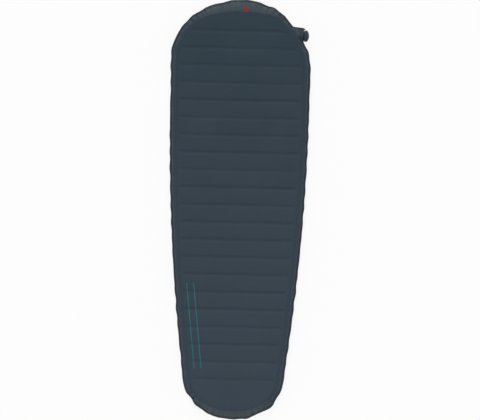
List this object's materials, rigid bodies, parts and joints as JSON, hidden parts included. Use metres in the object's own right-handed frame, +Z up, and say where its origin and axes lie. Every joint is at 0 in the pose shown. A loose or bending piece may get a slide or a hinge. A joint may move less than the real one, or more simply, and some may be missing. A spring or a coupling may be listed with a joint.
{
  "type": "inflatable sleeping pad",
  "caption": "Mummy-shaped self-inflating sleeping pad: two coated fabric covers welded over a slotted foam core, with a screw valve at one shoulder.",
  "frame": {"origin": "on the floor, under the middle of the pad's length and width", "axes": "+Y along the pad towards the head end, +X towards the valve's side, +Z up out of the sleeping face"},
  "size_m": [0.61, 1.83, 0.05],
  "materials": {
    "upper_fabric": "matte",
    "lower_fabric": "matte",
    "foam": "matte",
    "black_plastic": "satin",
    "grey_plastic": "satin",
    "rubber": "matte"
  },
  "bodies": {
    "pad": {"upper_cover": "upper_fabric", "lower_cover": "lower_fabric", "foam_core": "foam", "valve_base": "black_plastic", "inlet_screen": "grey_plastic", "valve_pintle": "grey_plastic", "pintle_seal": "rubber"},
    "wiper": {"neck_wiper": "rubber"},
    "knob": {"valve_knob": "black_plastic", "wiper_retainer": "grey_plastic"}
  },
  "joints": [
    {"name": "knob_travel", "type": "slide", "parent": "pad", "child": "wiper", "axis": [1, 0, 0], "range_m": [0, 0.004]},
    {"name": "knob_turn", "type": "hinge", "parent": "wiper", "child": "knob", "pos_m": [0.27332, 0.764, 0.025], "axis": [1, 0, 0], "range_deg": [0, 360]}
  ],
  "couplings": [
    {"joint": "knob_travel", "follows": "knob_turn", "m_per_rad": 0.0006366}
  ]
}
